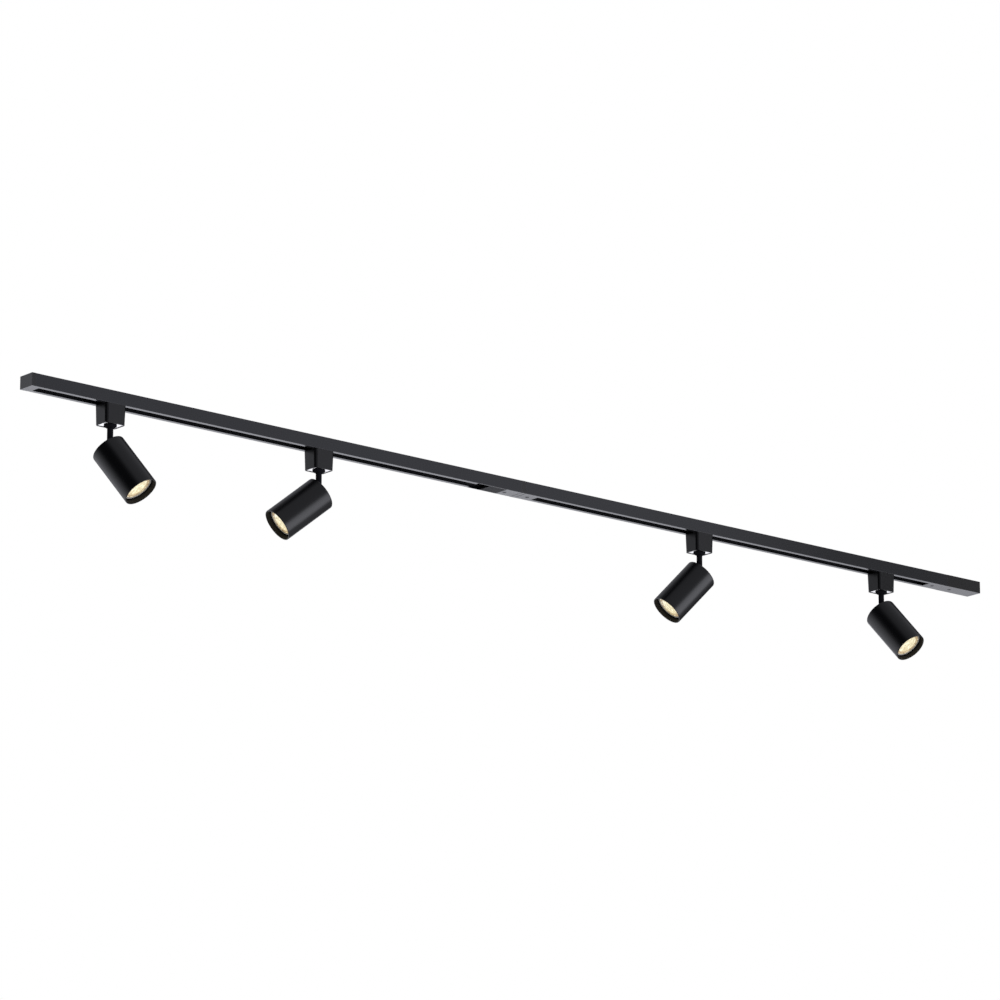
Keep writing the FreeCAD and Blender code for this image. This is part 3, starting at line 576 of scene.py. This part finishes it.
@dataclass(frozen=True)
class FloorPaper(Finish):
    """Pale studio paper with light behind it."""

    mottle_scale: float = 1.5
    shade: float = 0.96
    glow: float = 0.5

    def lay(self, page: Page, edge: Mask, bore: Mask) -> None:
        """Writes the paper's faint mottle."""
        mottle = page.noise(page.place(), self.mottle_scale, 4.0)
        paper = page.tint(mottle, self.colour, scaled(self.colour, self.shade))
        page.surface(Base_Color=paper, Roughness=self.roughness,
                     Emission_Color=paper, Emission_Strength=self.glow)


@dataclass(frozen=True)
class CardGlow(Finish):
    """The even glow of a studio card."""

    def lay(self, page: Page, edge: Mask, bore: Mask) -> None:
        """Writes a plain glow of the card's colour."""
        glow = page.node("ShaderNodeEmission", inputs={"Color": self.colour})
        page.node("ShaderNodeOutputMaterial", inputs={"Surface": glow}, out=None)


class Finishes(Enum):
    """The finishes of the fixture's pieces."""

    rail_paint = PowderCoat("rail_paint", (0.007, 0.008, 0.012), 0.24, drawn=True)
    can_paint = PowderCoat("can_paint", (0.004, 0.004, 0.005), 0.27)
    stem_paint = PowderCoat("stem_paint", (0.013, 0.013, 0.016), 0.45, index=1.03)
    black_plastic = Moulding("black_plastic", (0.005, 0.005, 0.006), 0.27)
    adapter_plastic = Moulding("adapter_plastic", (0.003, 0.003, 0.004), 0.33, index=1.38)
    matt_plastic = Moulding("matt_plastic", (0.012, 0.012, 0.014), 0.55, index=1.2)
    insulator = Moulding("insulator", (0.005, 0.005, 0.005), 0.55, skin=0.3 * MM)
    copper = Metal("copper", (0.70, 0.33, 0.18), 0.32, stain=(0.30, 0.12, 0.07))
    dark_steel = Metal("dark_steel", (0.05, 0.05, 0.055), 0.34, stain=(0.02, 0.018, 0.016))
    bright_steel = Metal("bright_steel", (0.80, 0.79, 0.77), 0.24, stain=(0.62, 0.60, 0.57))
    ceramic = Glaze("ceramic", (0.80, 0.78, 0.72), 0.22)
    bulb_body = Glaze("bulb_body", (0.78, 0.76, 0.70), 0.35)


# ---------------------------------------------------------------- meshes


def object_from(name: str, mesh: bmesh.types.BMesh) -> bpy.types.Object:
    """Makes an object of a mesh and puts it in the scene."""
    data = bpy.data.meshes.new(name)
    mesh.to_mesh(data)
    mesh.free()
    made = bpy.data.objects.new(name, data)
    bpy.context.scene.collection.objects.link(made)
    return made


def piece_from(name: str, mesh: bmesh.types.BMesh, body: str, slot: str, *nodes: str
               ) -> bpy.types.Object:
    """Makes a piece that stands for CAD nodes.

    Args:
        name: the piece's name.
        mesh: its mesh, in the scene's place.
        body: the body that it rides on.
        slot: the record's material slot; not used.
        nodes: the CAD nodes that it replaces.

    Returns:
        The piece.
    """
    bmesh.ops.recalc_face_normals(mesh, faces=mesh.faces)
    piece = object_from(name, mesh)
    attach(piece, body)
    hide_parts(*nodes)
    return piece


def ring_of(mesh: bmesh.types.BMesh, points: Iterable[Vector]) -> list[bmesh.types.BMVert]:
    """Adds one ring of points."""
    return [mesh.verts.new(point) for point in points]


def circle(radius: float, z: float, count: int, x: float = 0.0, y: float = 0.0) -> list[Vector]:
    """Spaces points evenly round an upright axis.

    Args:
        radius: the circle's radius.
        z: its height.
        count: the number of points.
        x: the axis's place.
        y: the same, the other way.

    Returns:
        The points.
    """
    angles = [2 * math.pi * turn / count for turn in range(count)]
    return [Vector((x + radius * math.cos(angle), y + radius * math.sin(angle), z))
            for angle in angles]


def close_rings(mesh: bmesh.types.BMesh, first: Sequence[bmesh.types.BMVert],
                second: Sequence[bmesh.types.BMVert]) -> None:
    """Joins two rings of the same count, or a ring and one point, with faces."""
    count = max(len(first), len(second))
    for turn in range(count):
        step = (turn + 1) % count
        corners = [first[turn % len(first)], first[step % len(first)],
                   second[step % len(second)], second[turn % len(second)]]
        mesh.faces.new(list(dict.fromkeys(corners))).smooth = True


@dataclass
class Lens:
    """A crowned lens whose face is pressed into small round facets."""

    number: int
    place: LampFrame
    rings: int = 72
    steps: int = 216
    pitch: float = 3.4 * MM
    relief: float = 0.40 * MM
    crown: float = 1.0 * MM
    shoulder: float = 0.35 * MM
    pressed: float = 0.97

    def facet(self, x: float, y: float) -> float:
        """How high a point stands on its facet.

        Args:
            x: the point's place across the lens.
            y: the same, the other way.

        Returns:
            1 at a facet's middle, falling to 0 where facets meet.
        """
        row_gap = self.pitch * math.sqrt(3.0) / 2
        nearest = self.pitch
        for row in (math.floor(y / row_gap), math.floor(y / row_gap) + 1):
            offset = self.pitch / 2 if row % 2 else 0.0
            column = round((x - offset) / self.pitch)
            nearest = min(nearest, math.hypot(x - offset - column * self.pitch,
                                              y - row * row_gap))
        reach = self.pitch / math.sqrt(3.0)
        return max(0.0, 1.0 - (nearest / reach) ** 2)

    def build(self) -> bpy.types.Object:
        """Builds the lens inside its CAD node's space.

        Returns:
            The lens piece.
        """
        node = f"lens_{self.number}"
        radius, low, high = self.place.measure(node)
        mesh = bmesh.new()
        heights: list[float] = []
        face = radius - self.shoulder

        def front(along: float, turn: int) -> Vector:
            """A point of the pressed face."""
            angle = 2 * math.pi * turn / self.steps
            x, y = along * math.cos(angle), along * math.sin(angle)
            height = self.facet(x, y) if along < self.pressed * face else 0.0
            heights.append(height)
            z = low + self.crown * (along / radius) ** 2 + self.relief * (1.0 - height)
            return self.place.to_world(Vector((x, y, z)))

        def rim(along: float, z: float, count: int) -> list[bmesh.types.BMVert]:
            """A plain ring of the lens's side or back."""
            heights.extend([0.0] * count)
            return ring_of(mesh, map(self.place.to_world, circle(along, z, count)))

        last = ring_of(mesh, [front(0.0, 0)])
        for ring in range(1, self.rings + 1):
            along = face * ring / self.rings
            new = ring_of(mesh, (front(along, turn) for turn in range(self.steps)))
            close_rings(mesh, last, new)
            last = new
        edge = low + self.crown
        for along, z in ((radius, edge + self.shoulder), (radius, high - self.shoulder),
                         (face, high), (face / 2, high)):
            new = rim(along, z, self.steps)
            close_rings(mesh, last, new)
            last = new
        close_rings(mesh, last, rim(0.0, high, 1))
        piece = piece_from(f"faceted_lens_{self.number}", mesh, f"lamp_{self.number}",
                           "lens", node)
        store = piece.data.attributes.new(FACET, "FLOAT", "POINT")
        store.data.foreach_set("value", heights)
        return piece

    def dress(self, piece: bpy.types.Object) -> None:
        """Lights the lens."""
        radius, low, _ = self.place.measure(f"lens_{self.number}")
        LitLens("lens", (1.0, 1.0, 0.84), 0.22, radius=radius,
                centre=self.place.to_world(Vector((0.0, 0.0, low)))).dress(piece)


@dataclass
class Screws:
    """The track's cross-headed screws.

    The cross and the face are in head radii, the recess, the dome and the brim in head
    heights, the thread's root and the tip in shank radii, and its flanks in pitches.
    """

    node: str = "track_screws"
    apart: float = 10.0 * MM
    steps: int = 72
    rings: int = 18
    head: float = 1.1 * MM
    face: float = 0.97
    dome: float = 0.55
    brim: float = 0.72
    arm: float = 0.52
    arm_slope: float = 0.12
    half_slot: float = 0.13
    slot_slope: float = 0.05
    recess: float = 0.62
    shank: float = 0.55
    turns: int = 9
    flanks: Band = (0.25, 0.75)
    root: float = 0.8
    tip: float = 0.6
    taper: float = 0.4 * MM

    def clusters(self) -> list[tuple[Vector, Vector]]:
        """Finds the box of each screw in the CAD node.

        Returns:
            The lowest and highest corner of each, along the track.
        """
        points = sorted((each.co for each in frame["nodes"][self.node].data.vertices),
                        key=lambda point: point.x)
        groups: list[list[Vector]] = [[points[0]]]
        for point in points[1:]:
            if point.x - groups[-1][-1].x > self.apart:
                groups.append([])
            groups[-1].append(point)
        corners = []
        for group in groups:
            low = Vector([min(point[turn] for point in group) for turn in range(3)])
            high = Vector([max(point[turn] for point in group) for turn in range(3)])
            corners.append((low, high))
        return corners

    def cross(self, x: float, y: float) -> float:
        """How deep the cross is at a point.

        Args:
            x: the point's place, in head radii.
            y: the same, the other way.

        Returns:
            The depth, from 0 outside to 1 at the middle.
        """
        deepest = 0.0
        for one, other in ((x, y), (y, x)):
            if abs(one) < self.arm and abs(other) < self.half_slot:
                end = min(1.0, (self.arm - abs(one)) / self.arm_slope)
                side = min(1.0, (self.half_slot - abs(other)) / self.slot_slope)
                deepest = max(deepest, end * side)
        return deepest

    def add_screw(self, mesh: bmesh.types.BMesh, low: Vector, high: Vector) -> None:
        """Adds one screw.

        Args:
            mesh: the mesh to add to.
            low: the lowest corner of its space.
            high: the highest corner of its space.
        """
        middle = (low + high) / 2
        radius = (high.x - low.x) / 2
        head = min(self.head, (high.z - low.z) / 3)
        shank = self.shank * radius
        neck = low.z + head

        def ring(along: float, z: float, count: int) -> list[bmesh.types.BMVert]:
            """A ring of the screw's face, with the cross cut in it."""
            points = []
            for turn in range(count):
                angle = 2 * math.pi * turn / count
                x, y = along * math.cos(angle), along * math.sin(angle)
                cut = self.recess * head * self.cross(x / radius, y / radius)
                points.append(Vector((middle.x + x, middle.y + y, z + cut)))
            return ring_of(mesh, points)

        last = ring(0.0, low.z, 1)
        for step in range(1, self.rings + 1):
            along = self.face * radius * step / self.rings
            new = ring(along, low.z + self.dome * head * (along / radius) ** 3, self.steps)
            close_rings(mesh, last, new)
            last = new
        levels = [(radius, low.z + self.brim * head), (radius, neck), (shank, neck)]
        pitch = (high.z - neck) / (self.turns + 1)
        for turn in range(self.turns):
            base = neck + pitch * turn
            levels += [(shank, base + self.flanks[0] * pitch),
                       (self.root * shank, base + self.flanks[1] * pitch)]
        levels += [(self.root * shank, high.z - self.taper), (self.tip * shank, high.z)]
        for along, z in levels:
            new = ring_of(mesh, circle(along, z, self.steps, middle.x, middle.y))
            close_rings(mesh, last, new)
            last = new
        close_rings(mesh, last, ring_of(mesh, [Vector((middle.x, middle.y, high.z))]))

    def build(self) -> bpy.types.Object:
        """Builds the screws as one piece, as the CAD has them.

        Returns:
            The piece.
        """
        mesh = bmesh.new()
        for low, high in self.clusters():
            self.add_screw(mesh, low, high)
        return piece_from("cross_head_screws", mesh, "track", "dark_steel", self.node)

    def dress(self, piece: bpy.types.Object) -> None:
        """Blackens the screws."""
        Finishes.dark_steel.value.dress(piece)


# ---------------------------------------------------------------- sub-assemblies


@dataclass
class Track:
    """The rails, the joiner, the live end and the cap."""

    paint: tuple[str, ...] = ("rail_a", "rail_b")
    plastic: tuple[str, ...] = ("end_cap", "joiner_body", "live_housing", "live_cover",
                                "live_end_plate", "terminal_block")
    matt: tuple[str, ...] = ("joiner_cover",)
    liners: tuple[str, ...] = ("insulators_a", "insulators_b")
    wires: tuple[str, ...] = ("conductors_a", "conductors_b", "joiner_links", "live_contacts")
    screws: Screws = field(default_factory=Screws)

    def build(self) -> bpy.types.Object:
        """Builds the screws; the other pieces keep their CAD shapes.

        Returns:
            The screws.
        """
        return self.screws.build()

    def dress(self, screws: bpy.types.Object) -> None:
        """Dresses every piece of the track."""
        for names, finish in ((self.paint, Finishes.rail_paint),
                              (self.plastic, Finishes.black_plastic),
                              (self.matt, Finishes.matt_plastic),
                              (self.liners, Finishes.insulator),
                              (self.wires, Finishes.copper)):
            for name in names:
                finish.value.dress(frame["nodes"][name], box_edge(name))
        self.screws.dress(screws)


@dataclass
class Head:
    """One adapter with its stem, can, bulb and lens."""

    number: int

    def named(self, name: str) -> str:
        """The name of one of this head's nodes."""
        return f"{name}_{self.number}"

    def build(self) -> tuple[Lens, bpy.types.Object]:
        """Builds the lens; the other pieces keep their CAD shapes.

        Returns:
            The lens's maker and its piece.
        """
        maker = Lens(self.number, LampFrame.of_lamp(self.number))
        return maker, maker.build()

    def dress(self, maker: Lens, lens: bpy.types.Object) -> None:
        """Dresses every piece of the head."""
        nodes = frame["nodes"]
        for name in ("adapter_housing", "latch"):
            Finishes.adapter_plastic.value.dress(nodes[self.named(name)],
                                                 box_edge(self.named(name)))
        Finishes.bright_steel.value.dress(nodes[self.named("adapter_plate")],
                                          box_edge(self.named("adapter_plate")))
        # The can's coat takes painted shade inside its bore.
        Finishes.can_paint.value.dress(nodes[self.named("can")],
                                       rim_edge(self.named("can"), maker.place),
                                       bore_of(self.named("can"), maker.place))
        for name, finish in (("adapter_contacts", Finishes.copper),
                             ("stem", Finishes.stem_paint), ("swivel_nut", Finishes.dark_steel),
                             ("hinge_pin", Finishes.dark_steel),
                             ("lamp_holder", Finishes.ceramic), ("bulb", Finishes.bulb_body)):
            finish.value.dress(nodes[self.named(name)])
        maker.dress(lens)


def box_edge(node: str) -> Callable[[Page], Sock]:
    """Gives the writer of a box-shaped piece's edge distance.

    Args:
        node: the CAD node.

    Returns:
        A function that writes the distance on a page.
    """
    low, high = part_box(node)
    return lambda page: page.edge_gap(page.place(), low, high)


def rim_edge(node: str, place: LampFrame) -> Callable[[Page], Sock]:
    """Gives the writer of a can's distance from its two outer rims.

    Args:
        node: the can's node.
        place: its lamp's frame.

    Returns:
        A function that writes the distance on a page.
    """
    radius, low, high = place.measure(node)

    def write(page: Page) -> Sock:
        """Writes the distance to the nearer rim."""
        up, out = lamp_place(page, place)
        return abs(up - low).lower(abs(up - high)).higher(radius - out)

    return write


def bore_of(node: str, place: LampFrame, depth: float = 1.6 * MM, fade: float = 0.2 * MM
            ) -> Callable[[Page], Sock]:
    """Gives the writer of a can's bore, which the coat darkens with painted shade.

    Args:
        node: the can's node.
        place: its lamp's frame.
        depth: how far inside the outer face the bore's painted shade starts.
        fade: how far it takes to be full.

    Returns:
        A function that writes 1 on the bore and 0 on the outside.
    """
    radius, _, _ = place.measure(node)
    inside = radius - depth
    return lambda page: page.ease(lamp_place(page, place)[1], inside, inside - fade)


def lamp_place(page: Page, place: LampFrame) -> tuple[Sock, Sock]:
    """Writes where a point is in a lamp's frame.

    Args:
        page: the page to write on.
        place: the lamp's frame.

    Returns:
        How far the point is along the lamp's axis, and out from it.
    """
    where = page.node("ShaderNodeVectorMath", {"operation": "SUBTRACT"},
                      {0: page.place(), 1: place.origin})
    side = [page.along(where, place.turn @ Vector(way)) for way in ((1, 0, 0), (0, 1, 0))]
    spread = side[0] * side[0] + side[1] * side[1]
    return page.along(where, place.axis), spread.maths("SQRT", spread)


# ---------------------------------------------------------------- studio


@dataclass(frozen=True)
class Panel:
    """A soft box, or a dark card, that stands far off in one direction.

    Its azimuth, its elevation and its inner and outer half widths are in degrees.
    """

    azimuth: float
    elevation: float
    inner: float
    outer: float
    level: float

    def shape(self, page: Page, way: Sock) -> Sock:
        """Writes how much of the panel a direction meets.

        Args:
            page: the world's page.
            way: the direction.

        Returns:
            The panel's level inside, falling softly to 0 outside.
        """
        flat = math.cos(math.radians(self.elevation))
        middle = (flat * math.cos(math.radians(self.azimuth)),
                  flat * math.sin(math.radians(self.azimuth)),
                  math.sin(math.radians(self.elevation)))
        return self.level * page.ease(page.along(way, middle),
                                      math.cos(math.radians(self.outer)),
                                      math.cos(math.radians(self.inner)))


@dataclass
class Studio:
    """The floor, the light and the camera.

    The flag is a grey card that stands off the live end. Its way and reach lead there.
    """

    floor_drop: float = 9.5
    floor_reach: float = 31.0
    floor_rings: int = 12
    floor_steps: int = 96
    floor_tone: Colour = (0.86, 0.86, 0.86)
    floor_rough: float = 0.8
    eye: Triple = (-5.5347, -6.5140, -2.3226)
    yaw: float = 39.958
    pitch: float = 15.055
    lens: float = 187.63
    sensor: float = 36.0
    sight: float = 100.0
    seen_tone: Colour = (1.0, 1.0, 1.0)
    room_tone: Colour = (0.915, 0.925, 1.0)
    room: float = 0.42
    boxes: tuple[Panel, ...] = (
        Panel(-52.0, -14.0, 10.0, 34.0, 2.1),
        Panel(112.0, 4.0, 10.0, 40.0, 0.55),
        Panel(52.0, -18.0, 8.0, 30.0, 1.1))
    cards: tuple[Panel, ...] = (
        Panel(-170.0, 12.0, 20.0, 50.0, 0.94),
        Panel(18.0, 10.0, 14.0, 44.0, 0.85),
        Panel(165.0, 70.0, 10.0, 28.0, 0.75))
    flag_from: Triple = (0.95, 0.0, -0.01)
    flag_way: Triple = (0.621, -0.740, 0.259)
    flag_reach: float = 1.6
    flag_size: tuple[float, float] = (0.54, 0.9)
    flag_level: float = 0.36

    def lay_floor(self) -> None:
        """Lays a round floor of pale paper."""
        mesh = bmesh.new()
        last = ring_of(mesh, [Vector((0.0, 0.0, -self.floor_drop))])
        for step in range(1, self.floor_rings + 1):
            reach = self.floor_reach * step / self.floor_rings
            new = ring_of(mesh, circle(reach, -self.floor_drop, self.floor_steps))
            close_rings(mesh, last, new)
            last = new
        floor = object_from("floor", mesh)
        FloorPaper("floor_paper", self.floor_tone, self.floor_rough).dress(floor)
        floor.visible_glossy = False
        floor.visible_diffuse = False

    def hang_flag(self) -> None:
        """Hangs a grey card by the live end, which only reflections see."""
        way = Vector(self.flag_way).normalized()
        across = Vector((-way.y, way.x, 0.0)).normalized() * self.flag_size[0] / 2
        up = way.cross(across).normalized() * self.flag_size[1] / 2
        middle = Vector(self.flag_from) + way * self.flag_reach
        mesh = bmesh.new()
        mesh.faces.new(ring_of(mesh, (middle + across + up, middle - across + up,
                                      middle - across - up, middle + across - up)))
        card = object_from("grey_card", mesh)
        CardGlow("grey_card", (self.flag_level,) * 3, 1.0).dress(card)
        card.visible_camera = False
        card.visible_diffuse = False
        card.visible_shadow = False

    def light(self) -> None:
        """Surrounds the fixture with pale paper, soft boxes and dark cards."""
        world = bpy.data.worlds.new("studio")
        world.use_nodes = True
        page = Page(world.node_tree)
        way = page.node("ShaderNodeTexCoord", out="Generated")
        room = self.room + sum(box.shape(page, way) for box in self.boxes)
        for card in self.cards:
            room = room * (1.0 - card.shape(page, way))
        seen = page.node("ShaderNodeLightPath", out="Is Camera Ray")
        level = seen + (1.0 - seen) * room
        paper = page.tint(seen, self.room_tone, self.seen_tone)
        back = page.node("ShaderNodeBackground", inputs={"Color": paper, "Strength": level})
        page.node("ShaderNodeOutputWorld", inputs={"Surface": back}, out=None)
        bpy.context.scene.world = world

    def set_camera(self) -> None:
        """Places the camera."""
        data = bpy.data.cameras.new("camera")
        data.lens = self.lens
        data.sensor_width = self.sensor
        data.clip_end = self.sight
        camera = bpy.data.objects.new("camera", data)
        camera.location = self.eye
        camera.rotation_euler = (math.radians(90.0 + self.pitch), 0.0, -math.radians(self.yaw))
        bpy.context.scene.collection.objects.link(camera)
        bpy.context.scene.camera = camera

    def build(self) -> None:
        """Sets up the whole studio."""
        self.lay_floor()
        self.hang_flag()
        self.light()
        self.set_camera()
        view = bpy.context.scene.view_settings
        view.view_transform = "Standard"
        view.look = "None"


def main() -> None:
    """Builds and dresses the fixture, then the studio."""
    logging.basicConfig(level=logging.INFO, format="%(name)s: %(message)s")
    track = Track()
    screws = track.build()
    track.dress(screws)
    LOG.info("track: screws built, pieces dressed")
    for number in range(1, HEADS + 1):
        head = Head(number)
        maker, lens = head.build()
        head.dress(maker, lens)
        LOG.info("head %d: lens built, pieces dressed", number)
    Studio().build()
    LOG.info("studio: floor, light and camera set")


if __name__ == "__main__":
    main()
